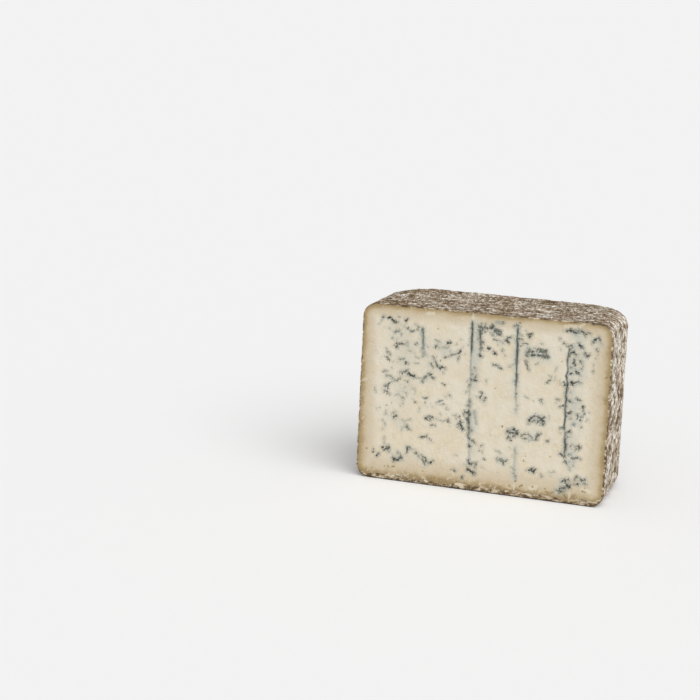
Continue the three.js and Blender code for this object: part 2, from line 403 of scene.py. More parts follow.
growths[GREEN] += [
    (1.5, 32, 103.5, 32.5, 106), (0.7, 33.5, 109, 35, 107), (0.8, 38.9, 108.9),
    (1.3, 40, 108.3, 46, 107.8), (1.4, 41, 105, 46.5, 104.5), (0.8, 47.7, 103.7),
    (0.9, 55.5, 117.5), (0.5, 60.5, 113.2, 62, 113.8, 63.5, 114.5, 64.5, 112.5),
    (0.6, 68.3, 115.8), (0.6, 72.5, 123, 72.3, 121), (0.6, 81, 112.8, 82.2, 111.5),
    (0.8, 70.2, 104, 71, 102.5, 70.3, 101), (0.6, 71.8, 99.5), (0.6, 70.8, 98),
    (0.6, 79, 98, 79.5, 96.5), (0.5, 63.8, 98), (0.7, 57.5, 87, 59.5, 87.3),
    (0.7, 49.5, 88, 47.5, 86), (0.7, 69, 77, 71, 76.3), (0.9, 55, 75, 57.3, 74.3),
    (0.6, 73.5, 68.3), (0.6, 74.5, 69, 74.3, 66), (0.6, 42.5, 73, 43.8, 73.3, 43.3, 72, 45, 71),
]
growths[PALE] += [
    (1.1, 67, 124, 72, 122), (0.8, 84.8, 117), (0.6, 56, 111.7, 56.3, 110.3), (0.7, 72.7, 111.5),
    (0.6, 82, 109), (0.6, 81, 107), (0.7, 79, 103, 79, 101), (0.8, 41.2, 113.2, 43.5, 113.1),
    (0.6, 53.5, 98, 53.2, 94.5), (0.6, 53.2, 90.7, 52.8, 88), (0.7, 50, 90.5, 48.7, 91),
    (0.8, 69.5, 88.7, 72, 88.2), (0.7, 64.5, 81.5, 64.3, 80), (0.6, 54.5, 73), (0.8, 77.8, 67.5),
]

# %% Growths in the lower left of the cut
growths[BLACK] += [
    (0.8, -72.1, 23.9), (0.7, -69.2, 24.5, -68.6, 23, -67.7, 22), (0.5, -67.6, 25.9, -66.6, 24.3),
    (0.8, -39, 17.8), (0.8, -35.3, 16.9), (0.6, -46.5, 22.7), (0.8, -75, 18.9),
]
growths[BLUE] += [
    (0.5, -48, 61), (0.6, -70.3, 49.8), (0.7, -64.8, 48.3, -63.8, 47.5), (0.6, -62.2, 49.4),
    (0.6, -40, 50, -38.5, 51.3, -37, 51.8), (0.6, -39, 49.3, -36, 49.7),
    (0.6, -35.8, 51.8, -34.8, 51), (0.7, -43.3, 35.8, -40.5, 36.3), (0.6, -70.8, 22.2),
    (0.7, -76.7, 17.2), (0.6, -79.3, 20), (0.6, -42.5, 22, -41, 20.8, -39.5, 20, -39, 18),
    (0.5, -36.8, 16.4, -35.3, 17, -33.8, 18.7), (0.8, -53.8, 26.5, -53.8, 22.3),
    (0.8, -64, 17, -60.5, 16.5, -57.5, 18), (0.8, -63.7, 16.5, -63.7, 14.7),
]
growths[GREEN] += [
    (0.5, -55.2, 66.7), (0.7, -59, 63.8, -57.2, 62.5), (0.6, -57.7, 58.8),
    (0.7, -42.3, 65, -40, 64), (0.7, -31.7, 62.7, -30.3, 63.5, -29.2, 64.3), (0.6, -64, 51.5),
    (0.5, -71, 43, -70, 41.3), (0.6, -57.2, 41), (0.8, -54, 43, -52.5, 41, -51.5, 40.5),
    (0.8, -35.5, 45.7, -33.3, 46), (0.6, -40.5, 36, -38.5, 35.3, -37, 35, -35.7, 33.8),
    (0.5, -38.8, 37.3, -38.5, 36), (0.5, -79.2, 22), (0.5, -70.8, 32),
    (0.4, -51.5, 26.5, -49, 25.3, -46.5, 23.5, -45, 20.5, -43.5, 19), (0.6, -52.5, 27, -51, 27.3),
    (0.7, -42, 19, -40.5, 17, -39.5, 15.5), (0.5, -60.5, 22.5, -60.3, 21),
    (0.6, -58.5, 21, -58.7, 18.5),
]
growths[PALE] += [
    (0.5, -50, 63), (0.6, -59.3, 57.3), (0.7, -75, 54.3), (0.6, -77.5, 53), (0.6, -70.8, 52.3),
    (0.6, -62, 52.7), (0.6, -66, 50.2), (0.9, -72.5, 44.7), (0.6, -56, 44.5),
    (0.7, -58, 46.2, -51, 47.5), (0.6, -45.2, 57, -45.3, 54.5), (0.6, -40.5, 61.5), (0.5, -39, 66),
    (0.5, -39, 59), (0.6, -34.5, 59), (0.5, -36.5, 61), (0.7, -29.3, 61.3), (0.6, -27.5, 64.5),
    (0.7, -32, 50.5, -30, 49.5, -27.5, 49, -24, 50.5), (0.6, -29.5, 54.5, -28.5, 53.3),
    (0.6, -21.5, 46.3), (1.0, -72.5, 38), (0.6, -57.5, 38.7), (0.6, -72, 30, -71, 27),
    (1.0, -52, 25), (0.7, -57.7, 20, -57, 16),
]

# %% Growths in the lower middle of the cut
growths[BLACK] += [
    (0.9, -7, 22.6, -6.6, 21.3), (0.8, -6.3, 21, -4.8, 20.2, -3.6, 20.9),
    (0.9, -7.3, 15.8, -5, 14.7, -2.3, 13.2), (0.5, -11.1, 10, -11.8, 8.6), (0.8, 21.2, 48.3),
    (1.1, 39.7, 21.5, 41, 21),
]
growths[BLUE] += [
    (0.5, -27, 62.4), (0.6, -15, 54.3), (0.7, -14.5, 50.8, -13.3, 50.5),
    (1.2, -14.5, 48.5, -13.5, 47, -12.3, 45), (0.6, -23.3, 51, -23, 49), (0.5, -1.2, 21.8, -1, 19),
    (0.5, 0.9, 31), (0.8, 16, 25.5, 18.3, 24.8, 18.7, 23.7), (0.7, 18.5, 26, 20.5, 25),
    (0.6, 37.3, 20.7, 39, 21), (0.6, 40.8, 19.7), (0.8, 20.7, 46.8, 24, 46.5, 28, 46.8),
    (0.8, 25.5, 50, 26.5, 48.5, 28.5, 48.5), (1.1, 25.5, 44.7), (0.7, 22.6, 42.7), (0.6, 23.5, 41),
]
growths[GREEN] += [
    (0.5, -17.8, 54.7), (0.7, -17.7, 52.3), (0.6, -16, 46), (0.5, -2.2, 17.9),
    (0.8, -18, 14.3, -17, 13.3), (0.5, 1.5, 34.3, 2.5, 34.9), (0.9, 3.8, 25.5),
    (0.6, 14, 25.5, 14, 27.3), (0.6, 21, 27, 21.8, 26.2), (0.6, 42, 22.3), (0.5, 40.3, 22.8),
    (0.7, 23.5, 49.5), (0.7, 21.3, 44, 21.2, 41.8),
]
growths[PALE] += [
    (0.7, -24.7, 60.3, -25, 58.5, -23, 58.5), (0.6, -20, 54.8),
    (0.8, 12.5, 32.5, 14.5, 32, 16.3, 30.8), (0.5, -17.5, 24.7, -15, 25), (0.5, 3, 19, 4.5, 18.2),
    (0.5, 3, 30.5, 3, 28.7), (0.6, -9.5, 19, -8.3, 17.8), (0.5, 22.7, 36, 23.4, 34.8),
    (0.5, 34.7, 20.3), (0.7, 29, 45, 30.5, 44.7), (1.6, 17, 26),
]

# %% Growths in the lower right of the cut
growths[BLACK] += [
    (1.2, 36.3, 57.7), (0.7, 71.8, 43.3, 73, 42.4), (0.6, 71.9, 41.2),
    (1.1, 65.5, 13.3, 66.5, 12.2), (0.8, 59.9, 9.5, 60.1, 7.3),
]
growths[BLUE] += [
    (0.6, 37, 59.3, 39, 59.6), (0.5, 39.7, 61.3), (0.6, 41.5, 60.8, 44, 59.3, 46.5, 61),
    (0.6, 44, 59, 42, 56.5), (0.6, 45, 59, 46.5, 57.5), (0.6, 44.5, 56, 46.5, 56),
    (0.6, 41, 45.5, 42.5, 47.5, 44.5, 48.7),
    (0.4, 43, 49, 44.5, 48.5, 43.5, 47, 41, 45.8, 42.5, 44.3), (0.6, 64.9, 62.1),
    (0.6, 72.1, 64.5), (0.6, 72.2, 62), (0.7, 68.5, 33.3, 70, 33.8), (0.8, 72, 15.3),
    (0.7, 70.5, 18.5), (0.8, 74.2, 19.3, 75.3, 19), (0.7, 77.3, 19.5),
    (0.8, 61.3, 16.2, 63.2, 16.7), (0.5, 63.5, 15.5, 64.5, 14), (0.8, 61.5, 11, 63.5, 11.3),
]
growths[GREEN] += [
    (0.7, 35.5, 55.5), (0.6, 38, 57, 39.8, 57.3),
    (0.6, 31, 45.3, 33, 46.8, 34.8, 47.3, 36.5, 46.3, 38.2, 44.8), (0.6, 32, 43.8, 34.5, 43.8),
    (0.5, 42.8, 44.3), (1.1, 49.5, 44.3), (0.6, 68.5, 58.8, 67.5, 58), (0.5, 72.7, 56.7),
    (0.7, 69.8, 65.8, 70.5, 64.5), (0.5, 73.8, 64), (0.5, 70.3, 62.5), (0.5, 46, 19.3, 46.7, 18.3),
    (0.5, 65.2, 19, 65.3, 17.5, 67.5, 16.7), (0.6, 68, 14.3, 70, 15),
    (0.6, 76, 17, 77, 16, 78.7, 16), (0.5, 71.8, 21, 70.5, 19), (0.6, 66, 42.3), (0.5, 67, 43.7),
    (0.5, 68.7, 43, 69.5, 41.7), (0.5, 69.5, 40.3), (0.6, 66.5, 34.3, 68, 34),
    (0.7, 70, 34.2, 72, 34.3, 73.5, 33.7), (0.6, 64.5, 35.5, 65.5, 36.5), (0.6, 57.7, 9.3),
    (0.6, 64, 9.7, 62.5, 8.5), (0.6, 60.5, 11, 60, 9.5),
]
growths[PALE] += [
    (0.7, 37, 43, 40, 43.5), (0.6, 50.5, 59.8, 50, 61.5), (0.6, 77, 63, 76, 61),
    (0.6, 51.7, 21.7, 53, 21.3, 54.5, 22, 55.5, 22.3), (0.6, 55.2, 23.3), (0.5, 53, 19.2),
    (0.5, 46, 17), (1.2, 62.5, 8.7),
]
print({tone: len(paths) for tone, paths in growths.items()})

# %% [markdown]
# ## The needle tracks themselves
#
# A piercing needle leaves a straight channel about two millimetres wide, and the knife laid
# some of them open lengthways. Each shows as a thin dark line down its row of mould, with a
# paler wall on both sides. A line thinner than a mesh square would come and go between the
# points, so we keep the distance to its left or right with a sign. Such a number runs through
# zero exactly on the line, wherever the points are.

# %% Lines down the needle tracks
FAR = 9.0  # stands for "nothing near" in every measured distance, in mm

tracks = [  # each as (across, up, strength) from its upper end down
    [(-43.6, 117, 0.0), (-43.6, 114, 0.4), (-43.5, 102, 0.3), (-43.6, 94, 0.0)],
    [
        (-7.7, 125.5, 0.0), (-7.6, 123, 0.9), (-7.6, 106, 0.9), (-7.7, 99, 0.45), (-7.8, 64, 0.3),
        (-8.3, 57, 0.45), (-7.5, 46, 0.5), (-7.3, 36, 0.35), (-6.7, 22, 0.25), (-6.9, 12, 0.0),
    ],
    [(-1.7, 121.5, 0.0), (-1.7, 119, 0.5), (-1.2, 106, 0.35), (-1.0, 98, 0.0)],
    [
        (25.2, 125, 0.0), (25.2, 121, 0.85), (25.2, 98, 0.95), (25.7, 86, 0.65), (25.8, 74, 0.5),
        (26.2, 61, 0.0),
    ],
    [
        (61.4, 115, 0.0), (61.8, 111, 0.6), (61.2, 103, 0.8), (61.6, 97, 0.7), (61.0, 92, 1.0),
        (61.9, 86, 0.9), (61.2, 80, 0.55), (61.7, 76, 0.85), (60.9, 69, 0.55), (61.4, 62, 0.9),
        (60.8, 56, 0.9), (61.9, 50, 0.35), (61.6, 46, 0.6), (62.7, 42, 0.75), (62.1, 38, 0.65),
        (63.2, 28, 0.0),
    ],
    [(26.6, 38, 0.0), (26.5, 33, 0.3), (26.3, 20, 0.25), (27.8, 10, 0.0)],
]
face = body[in_cut][:, [0, 2]]
track_side, track_ink = np.full(len(face), FAR), np.zeros(len(face))
for knots in tracks:
    knot_x, knot_z, knot_ink = np.array(knots)[::-1].T
    aside = face[:, 0] - np.interp(face[:, 1], knot_z, knot_x)
    nearer = abs(aside) < abs(track_side)
    track_side = np.where(nearer, aside, track_side)
    track_ink = np.where(nearer, np.interp(face[:, 1], knot_z, knot_ink, 0, 0), track_ink)
track_ink *= 1 - ease(1.5, 2.5, abs(track_side))
print("points beside a track", int((track_ink > 0).sum()))

# %% [markdown]
# ## Measuring the mould
#
# For every point on the cut we keep the distance to the nearest growth, less its half width:
# a number that is negative inside the mould and grows outside. Distances stay crisp when the
# renderer blends them between points, where a painted yes or no would blur. The places are
# pushed about a little first, so no growth is a clean oval.

# %% Distance to the growths


def distance_to(path, spots):
    """How far each spot on the cut lies from a path of one or more points, in mm."""
    corners = np.array(path, float).reshape(-1, 2)
    nearest = np.full(len(spots), np.inf)
    for start, end in zip(corners, corners[1:] if len(corners) > 1 else corners):
        run = end - start
        along = np.clip((spots - start) @ run / max(run @ run, 1e-9), 0, 1)
        gap = spots - start - along[:, None] * run
        nearest = np.minimum(nearest, np.hypot(*gap.T))
    return nearest


def jostled(spots, size, amount, seed):
    """The spots, each pushed up to half the amount in any direction."""
    flat = np.column_stack([spots, np.zeros(len(spots))])
    push = [lumps(flat, size, seed + k) - 0.5 for k in range(2)]
    return spots + amount * np.column_stack(push)


OWN_POINT = -0.45  # the gap at a growth's middle, so that even the smallest speck shows

uneven = jostled(jostled(face, 5.0, 0.9, 51), 1.9, 1.0, 53)
mould_gap = np.full(len(face), FAR)
weight, strength = np.full(len(face), 1e-12), np.zeros(len(face))
for tone, paths in growths.items():
    for half_width, *path in paths:
        gap = distance_to(path, uneven) - half_width
        middle = np.argmin(distance_to(path, face))
        gap[middle] = min(gap[middle], OWN_POINT)
        mould_gap = np.minimum(mould_gap, gap)
        share = np.exp(-np.clip(gap, -2, FAR) / 0.5)
        weight += share
        strength += share * tone
mould_tone = strength / weight
print("share of the cut inside mould", round(float((mould_gap < 0).mean()), 3))

# %% [markdown]
# ## Haze, smears and stains
#
# Round the older growths the paste turns grey-green, most of all beside the needle tracks.
# The knife also dragged soft paste over the rim and left smears and crumbs there, and a few
# small holes and stains are ochre or brown. Each is listed in the same way as the mould.

# %% Lists of the softer marks
haze_places = [
    (9, 0.45, -63, 114, -54, 100, -60, 86), (8, 0.4, -66, 78, -56, 72, -62, 64),
    (5, 0.5, -42, 112, -40, 80), (4, 0.8, -43.6, 114, -43.6, 96), (6, 0.5, -30, 103, -22, 98),
    (6, 0.45, -32, 89), (4.5, 0.9, -4.6, 124, -4.6, 93), (4, 0.7, -4.6, 92, -5, 76),
    (4.5, 0.9, -6, 68, -5, 44), (3.5, 0.7, -5, 42, -5, 24), (4, 0.8, 8, 120, 14, 113),
    (3.5, 0.8, 25, 124, 25, 84), (3, 0.5, 26, 84, 26, 60), (3, 0.5, 27, 38, 27, 14),
    (6, 0.8, 34, 106, 46, 105), (5, 0.9, 66, 124, 66, 84), (5.5, 0.8, 69, 118, 70, 92),
    (6, 0.9, 67, 90, 68, 54), (5, 0.8, 66, 54, 67, 28), (5, 0.8, 24, 46.5),
    (5, 0.6, 40, 47, 33, 45), (5, 0.7, 39, 59, 45, 59), (4, 0.7, -14, 50),
    (4, 0.8, -5, 20, -4, 14), (5, 0.7, 62, 16, 61, 9), (5, 0.5, 76, 18),
    (4, 0.5, -68, 23, -58, 18), (5, 0.5, -53, 25, -40, 19), (5, 0.5, 17, 26), (3, 0.6, 40, 21),
    (5, 0.5, 75, 118, 82, 116), (5, 0.4, -56, 43, -68, 50),
]
smear_places = [
    (1.2, -88.2, 73, -86, 74.2), (0.9, -88.4, 44.5, -87, 45.5), (0.6, -86.5, 36), (0.7, -89, 25),
    (1.4, -40, 126.8, -36, 127.6), (0.9, -7, 130, -7, 126.5), (1.0, 19, 130, 21, 129.4),
    (1.2, 60, 127, 66, 127.6), (0.8, 58.5, 128, 58.5, 121), (1.1, 68.5, 128, 71.5, 130),
    (0.8, -56.5, 7.6, -55.2, 5, -52.4, 4), (0.5, -68, 4.8, -57, 4.4), (0.5, -72, 2.4, -60, 2.8),
    (0.8, -40.8, 4.6, -39.2, 5), (0.6, -38.2, 9, -36.8, 9.4), (1.0, -22, 6.5, -21, 7.5),
    (0.9, -19.5, 13, -18.4, 11.2, -18, 9.5), (0.7, -17.5, 1.9, -16, 2.2),
    (0.5, 1.8, 2.4, 1.8, 6.2), (1.1, 11.5, 1.9, 12.6, 2.6), (0.6, 16.5, 3.3),
    (0.6, 17, 8.6, 22, 6.4, 25.5, 5.4), (1.1, 27, 9, 27.3, 5.2), (0.6, 26.5, 3.3, 29, 3.4),
    (2.0, 38.8, 8.2, 42.6, 9), (0.8, 67.4, 8, 67, 5), (0.6, 66, 3.4, 82, 3.6, 89, 6),
    (1.6, 76, 11.6, 81, 11.4),
]
dice = np.random.default_rng(7)
CRUMBS_AT_FOOT, CRUMBS_UP_SIDES, CRUMBS_ON_TOP = 150, 40, 40
for _ in range(CRUMBS_AT_FOOT):
    crumb_x, crumb_z = dice.uniform(-84, 86), 0.8 + 7.5 * dice.random() ** 1.7
    smear_places.append((dice.uniform(0.1, 0.6), crumb_x, crumb_z))
for _ in range(CRUMBS_UP_SIDES):
    side = dice.choice([-1, 1])
    crumb_x, crumb_z = side * dice.uniform(85.5, 90), dice.uniform(12, 110)
    smear_places.append((dice.uniform(0.1, 0.4), crumb_x, crumb_z))
for _ in range(CRUMBS_ON_TOP):
    crumb_x, crumb_z = dice.uniform(-75, 80), dice.uniform(125, 130.5)
    smear_places.append((dice.uniform(0.1, 0.45), crumb_x, crumb_z))
ochre_places = [
    (0.6, -84.8, 21.8), (0.7, 8.5, 93.6), (0.8, 16.8, 50.5), (0.7, 33.2, 27.5), (0.4, 34.5, 31),
    (0.6, 14.4, 16.4), (0.5, 76, 10.8, 79, 10.6), (0.5, 77.7, 13.2), (0.6, 52.4, 32.6),
    (0.7, 88.6, 93.6), (0.7, 88.9, 76.4), (0.5, 89.7, 78.5), (0.7, -70, 56.2), (0.6, -66.2, 58.7),
    (0.6, -68, 11, -67.2, 9.4), (0.7, -65, 10.4, -63, 10.8), (0.5, -70.5, 10.4),
    (0.6, -41.2, 10.4), (0.6, -32.9, 6.4, -31.7, 5.6), (0.7, 50.2, 7.6, 51.6, 6.8), (0.5, 49.5, 9),
    (0.8, 40.3, 9.3), (0.5, 42.3, 6.4), (0.6, -26.4, 76.4), (0.6, -8.5, 77.9), (0.6, -55.6, 78.7),
    (0.5, -56.5, 75.8), (0.5, 57.2, 102), (0.5, 10.8, 77.8), (0.5, 38.3, 71.5), (0.6, -30.2, 93.3),
    (0.5, -33, 116.5), (0.5, 25, 126.6, 27, 126.3), (0.6, 61.3, 8, 64.9, 4.4), (0.7, -20.2, 14.2),
    (0.5, 23, 8, 24, 7.4), (0.5, 31, 7.6, 33.4, 9.4), (0.4, -80, 8), (0.5, 28, 11.6),
]

# %% Measuring the softer marks
haze = np.zeros(len(face))
for reach, depth, *path in haze_places:
    haze = np.maximum(haze, depth * (1 - ease(0, 1.5 * reach, distance_to(path, uneven))))


def nearest_mark(marks):
    """The distance to the nearest mark on the cut, less its half width."""
    gap = np.full(len(face), FAR)
    for half_width, *path in marks:
        own = distance_to(path, uneven) - half_width
        own[np.argmin(distance_to(path, face))] = OWN_POINT
        gap = np.minimum(gap, own)
    return gap


smear_gap, ochre_gap = nearest_mark(smear_places), nearest_mark(ochre_places)
print("hazed share", round(float((haze > 0.2).mean()), 3))

# %% [markdown]
# ## How deep the rind reaches in
#
# Under the rind the paste is drier and tan, and it pales to ivory over about a centimetre:
# quickly under the top, slowly above the foot. We find each cut point's nearest point on the
# edge of the cut, its distance, and how wide the band is there. The crust itself shows as a
# narrow strip along the edge, and as a wider, crumbling one where the cut meets the underside.

# %% The band under the rind
BAND_TOP, BAND_FOOT, BAND_RIGHT = 9.0, 17.5, 11.5
BAND_LEFT_TOP, BAND_LEFT_FOOT = 8.5, 13.0
CRUST_SEEN = 0.8  # how wide the crust itself shows along the edge of the cut
MORE_ON_TOP, MORE_AT_RIGHT, MORE_AT_FOOT = 0.1, 0.2, 3.2
BATCH = 2000  # cut points measured at once, to spare memory

rim_spots = body[ring][:, [0, 2]]
rim_way = rind_way[ring][:, [0, 2]]
rim_way /= np.linalg.norm(rim_way, axis=1, keepdims=True)
rim_right, rim_top = rim_way.T
band_left = BAND_LEFT_FOOT + (BAND_LEFT_TOP - BAND_LEFT_FOOT) * rim_spots[:, 1] / HEIGHT
band = (
    BAND_RIGHT * np.clip(rim_right, 0, 1) ** 2
    + band_left * np.clip(-rim_right, 0, 1) ** 2
    + BAND_TOP * np.clip(rim_top, 0, 1) ** 2
    + BAND_FOOT * np.clip(-rim_top, 0, 1) ** 2
)
nearest_rim = np.empty(len(face), int)
rim_gap, ripeness = np.empty(len(face)), np.empty(len(face))
for start in range(0, len(face), BATCH):
    some = slice(start, start + BATCH)
    far = np.hypot(*(face[some, None] - rim_spots[None]).transpose(2, 0, 1))
    nearest_rim[some], rim_gap[some] = far.argmin(1), far.min(1)
    ripeness[some] = (far / band).min(1)
to_right, to_top = rim_way[nearest_rim].T
crust_seen = CRUST_SEEN + MORE_ON_TOP * np.clip(to_top, 0, 1)
crust_seen = crust_seen + MORE_AT_RIGHT * np.clip(to_right, 0, 1)
crust_seen += MORE_AT_FOOT * np.clip(-to_top, 0, 1) ** 2
crust_seen *= 0.25 + 1.5 * lumps(body[in_cut], (7, 5, 3), 101)
print("rim points", len(rim_spots), "widest band", band.max().round(1), "mm")

# %% [markdown]
# ## Shaping the skin
#
# Now the relief moves the points. Rind points go in along their own direction. Cut points go
# in and out along the cut's: mould gaps sink, crumbs and smears stand up, and near the rim
# they also follow the rind's lumps, so the two meet without a step.

# %% Moving the points
skin = body + lift[:, None] * rind_way
rim_push = (lift[:, None] * rind_way)[ring][nearest_rim]
fade = 1 - ease(0, 5, rim_gap)
pull = body[in_cut] + rim_push * fade[:, None]

MOULD_SINK, TRACK_SINK, STAIN_SINK = 1.0, 0.7, 0.5  # how far the hollows go in, in mm
CRUMB_RISE = 0.25  # how far crumbs and smears stand out

fine = crumble(body[in_cut], 2.6, 61)
ripple = crumble(body[in_cut], (16, 16, 9), 71, 2)
sink = CUT_SINK + 0.16 * (0.5 - fine) + 0.25 * (0.5 - ripple)
sink += MOULD_SINK * mould_tone * ease(0, 1, np.clip((0.4 - mould_gap) / 1.8, 0, 1))
sink += TRACK_SINK * track_ink * (1 - ease(0.2, 1.3, abs(track_side)))
sink += STAIN_SINK * ease(0, 1, np.clip((0.3 - ochre_gap) / 0.9, 0, 1))
crumbs = ease(0.62, 0.82, lumps(body[in_cut], 2.3, 81)) * (1 - ease(3, 8, face[:, 1]))
sink -= CRUMB_RISE * ease(0, 1, np.clip((0.4 - smear_gap) / 0.8, 0, 1)) + CRUMB_RISE * crumbs
sink = np.clip(sink, 0.02, 1.6)
bite = 0.9 * ease(0.6, 0.85, lumps(body[in_cut], 3.4, 91)) * (1 - ease(0, 1.5, rim_gap))
on_rim = ring[in_cut]
sink = np.where(on_rim, np.clip(sink, 0.02, 0.6), sink + bite)
undercut = 1.0 + 0.9 * lumps(body[in_cut], (7, 5, 5), 95)
sink = np.maximum(sink, undercut * (1 - ease(0, 1.6, face[:, 1])))
pull[:, 1] = -DEPTH / 2 + sink
skin[in_cut] = pull
skin[:, 2] = np.clip(skin[:, 2], 0, None)
print("skin", skin.min(0).round(2), skin.max(0).round(2))

# %% [markdown]
# ## The mesh
#
# The points and squares become one closed mesh. Measures that the materials need are stored
# on the points as named values. The cut has its own material, so the line where it meets the
# rind is as sharp as the knife left it.

# %% Building the mesh
DEEPEST = -0.55  # inside wide growths the gap stops here, so that the fraying still opens them

slab_mesh = bpy.data.meshes.new("cheese_slab")
slab_mesh.from_pydata((skin * MM).tolist(), [], squares.tolist())
slab_mesh.shade_smooth()
slab = bpy.data.objects.new("cheese_slab", slab_mesh)
bpy.context.scene.collection.objects.link(slab)


def keep_on_points(name, values):
    """Stores one number per point under a name that a material can read."""
    layer = slab_mesh.attributes.new(name, "FLOAT", "POINT")
    layer.data.foreach_set("value", values.astype(np.float32))


def spread(values, elsewhere):
    """Values measured on the cut, with one number everywhere else."""
    full = np.full(len(body), float(elsewhere))
    full[in_cut] = values
    return full


keep_on_points("relief", relief)
keep_on_points("matted", matted)
keep_on_points("behind_cut", behind_cut)
keep_on_points("above_foot", body[:, 2])
keep_on_points("mould_gap", spread(np.maximum(mould_gap, DEEPEST), FAR))
keep_on_points("mould_tone", spread(mould_tone, 0))
keep_on_points("track_side", spread(track_side, FAR))
keep_on_points("track_ink", spread(track_ink, 0))
keep_on_points("haze", spread(haze, 0))
keep_on_points("smear_gap", spread(smear_gap, FAR))
keep_on_points("ochre_gap", spread(ochre_gap, FAR))
keep_on_points("ripeness", spread(ripeness, 0))
keep_on_points("crust_gap", spread(rim_gap - crust_seen, 0))
print(len(slab_mesh.vertices), "points", len(slab_mesh.polygons), "faces")

# %% [markdown]
# ## A flat map of the skin
#
# This map lets the slab's colours be baked into one square picture. The lattice makes
# an easy map: each side is already a grid, so it is laid out as a rectangle, and the cut gets
# the largest share because it is what people look at.

# %% Laying the sides out flat
SHEETS = {
    "cut": ((0.005, 0.575), (0.585, 0.415)),
    "top": ((0.005, 0.300), (0.585, 0.265)),
    "back": ((0.005, 0.005), (0.420, 0.285)),
    "left": ((0.600, 0.680), (0.190, 0.310)),
    "right": ((0.800, 0.680), (0.190, 0.310)),
    "underside": ((0.600, 0.475), (0.390, 0.195)),
}
FLAT_AXES = {"cut": (0, 2), "back": (0, 2), "top": (0, 1), "underside": (0, 1)}

flat_map = slab_mesh.uv_layers.new(name="OFBake")
unrolled = np.zeros((len(squares), 4, 2))
for name, (corner, size) in SHEETS.items():
    chosen = side_of == name
    axes = list(FLAT_AXES.get(name, (1, 2)))
    shares = lattice[squares[chosen]][..., axes] / np.array(CELLS)[axes]
    if name in ("left", "back", "underside"):
        shares[..., 0] = 1 - shares[..., 0]
    unrolled[chosen] = np.array(corner) + shares * size
flat_map.data.foreach_set("uv", unrolled.reshape(-1).astype(np.float32))
print("map", unrolled.min((0, 1)).round(3), unrolled.max((0, 1)).round(3))

# %% [markdown]
# ## Writing shader maths as sums
#
# A material is a net of nodes. Written out one by one, even a small sum fills a page, so this
# class wraps a node's output and adds the Math nodes when we write `a + b` or `1 - a`. All
# other nodes come from one method of the finish.

# %% Values and finishes


class Value:
    """One output of a shader node; sums and products of it add Math nodes."""

    def __init__(self, finish, socket):
        self.finish, self.socket = finish, socket

    def maths(self, operation, first, second):
        return self.finish.node(
            "ShaderNodeMath", {"operation": operation}, {0: first, 1: second}
        )

    def __add__(self, other):
        return self.maths("ADD", self, other)

    def __sub__(self, other):
        return self.maths("SUBTRACT", self, other)

    def __rsub__(self, other):
        return self.maths("SUBTRACT", other, self)

    def __mul__(self, other):
        return self.maths("MULTIPLY", self, other)

    __radd__, __rmul__ = __add__, __mul__


class Finish:
    """A material under construction."""

    def __init__(self, name):
        self.material = bpy.data.materials.new(name)
        self.material.use_nodes = True
        self.tree = self.material.node_tree
        self.tree.nodes.clear()
        self.place = self.node("ShaderNodeTexCoord", {}, {}, "Object")

    def node(self, kind, settings, sockets, output=0):
        """Adds a node: its settings first, then the values or links of its sockets."""
        made = self.tree.nodes.new(kind)
        for name, value in settings.items():
            if name == "stops":
                ramp = made.color_ramp.elements
                while len(ramp) < len(value):
                    ramp.new(1)
                for stop, (position, colour) in zip(ramp, value):
                    stop.position, stop.color = position, colour
            else:
                setattr(made, name, value)
        for name, value in sockets.items():
            if isinstance(value, Value):
                self.tree.links.new(value.socket, made.inputs[name])
            else:
                made.inputs[name].default_value = value
        return Value(self, made.outputs[output]) if made.outputs else None

    def kept(self, name):
        """A number stored on the mesh's points."""
        return self.node("ShaderNodeAttribute", {"attribute_name": name}, {}, "Fac")

    def grain(self, size, detail=2.0, seed=0.0, stretch=(1, 1, 1)):
        """Noise with lumps of a size in mm, around 0.5."""
        spot = self.node(
            "ShaderNodeVectorMath",
            {"operation": "MULTIPLY_ADD"},
            {0: self.place, 1: stretch, 2: (seed, 0.7 * seed, 1.3 * seed)},
        )
        return self.node(
            "ShaderNodeTexNoise",
            {},
            {"Vector": spot, "Scale": 1 / (size * MM), "Detail": detail, "Roughness": 0.6},
        )

    def step(self, value, low, high):
        """0 below low, 1 above high, and smooth between them."""
        return self.node(
            "ShaderNodeMapRange",
            {"interpolation_type": "SMOOTHSTEP"},
            {"Value": value, "From Min": low, "From Max": high},
        )

    def mix(self, share, first, second, blend="MIX"):
        """The first colour, going over to the second where the share is 1."""
        return self.node(
            "ShaderNodeMix",
            {"data_type": "RGBA", "blend_type": blend, "clamp_factor": True},
            {0: share, 6: first, 7: second},
            2,
        )

    def apart(self, first, second):
        """How far two values lie apart."""
        return self.node("ShaderNodeMath", {"operation": "ABSOLUTE"}, {0: first - second})

    def bump(self, height, depth, under=None):
        """A bump whose height from 0 to 1 is depth mm deep."""
        sockets = {"Height": height, "Distance": depth * MM, "Strength": 1.0}
        if under is not None:
            sockets["Normal"] = under
        return self.node("ShaderNodeBump", {}, sockets)


# %% [markdown]
# ## Colours
#
# Colours below are written as a painter would match them, from 0 to 255 as seen on a screen
# under soft white light. The renderer works with the share of light a surface gives back, so
# each is turned into that share once, here.

# %% Matching colours


def seen(red, green, blue):
    """The share of light that a colour on the screen stands for, as RGBA."""
    screen = [c / 255 for c in (red, green, blue)]
    shares = [c / 12.92 if c <= 0.04045 else ((c + 0.055) / 1.055) ** 2.4 for c in screen]
    return (*shares, 1.0)


print("ivory", [round(c, 2) for c in seen(221, 211, 188)])

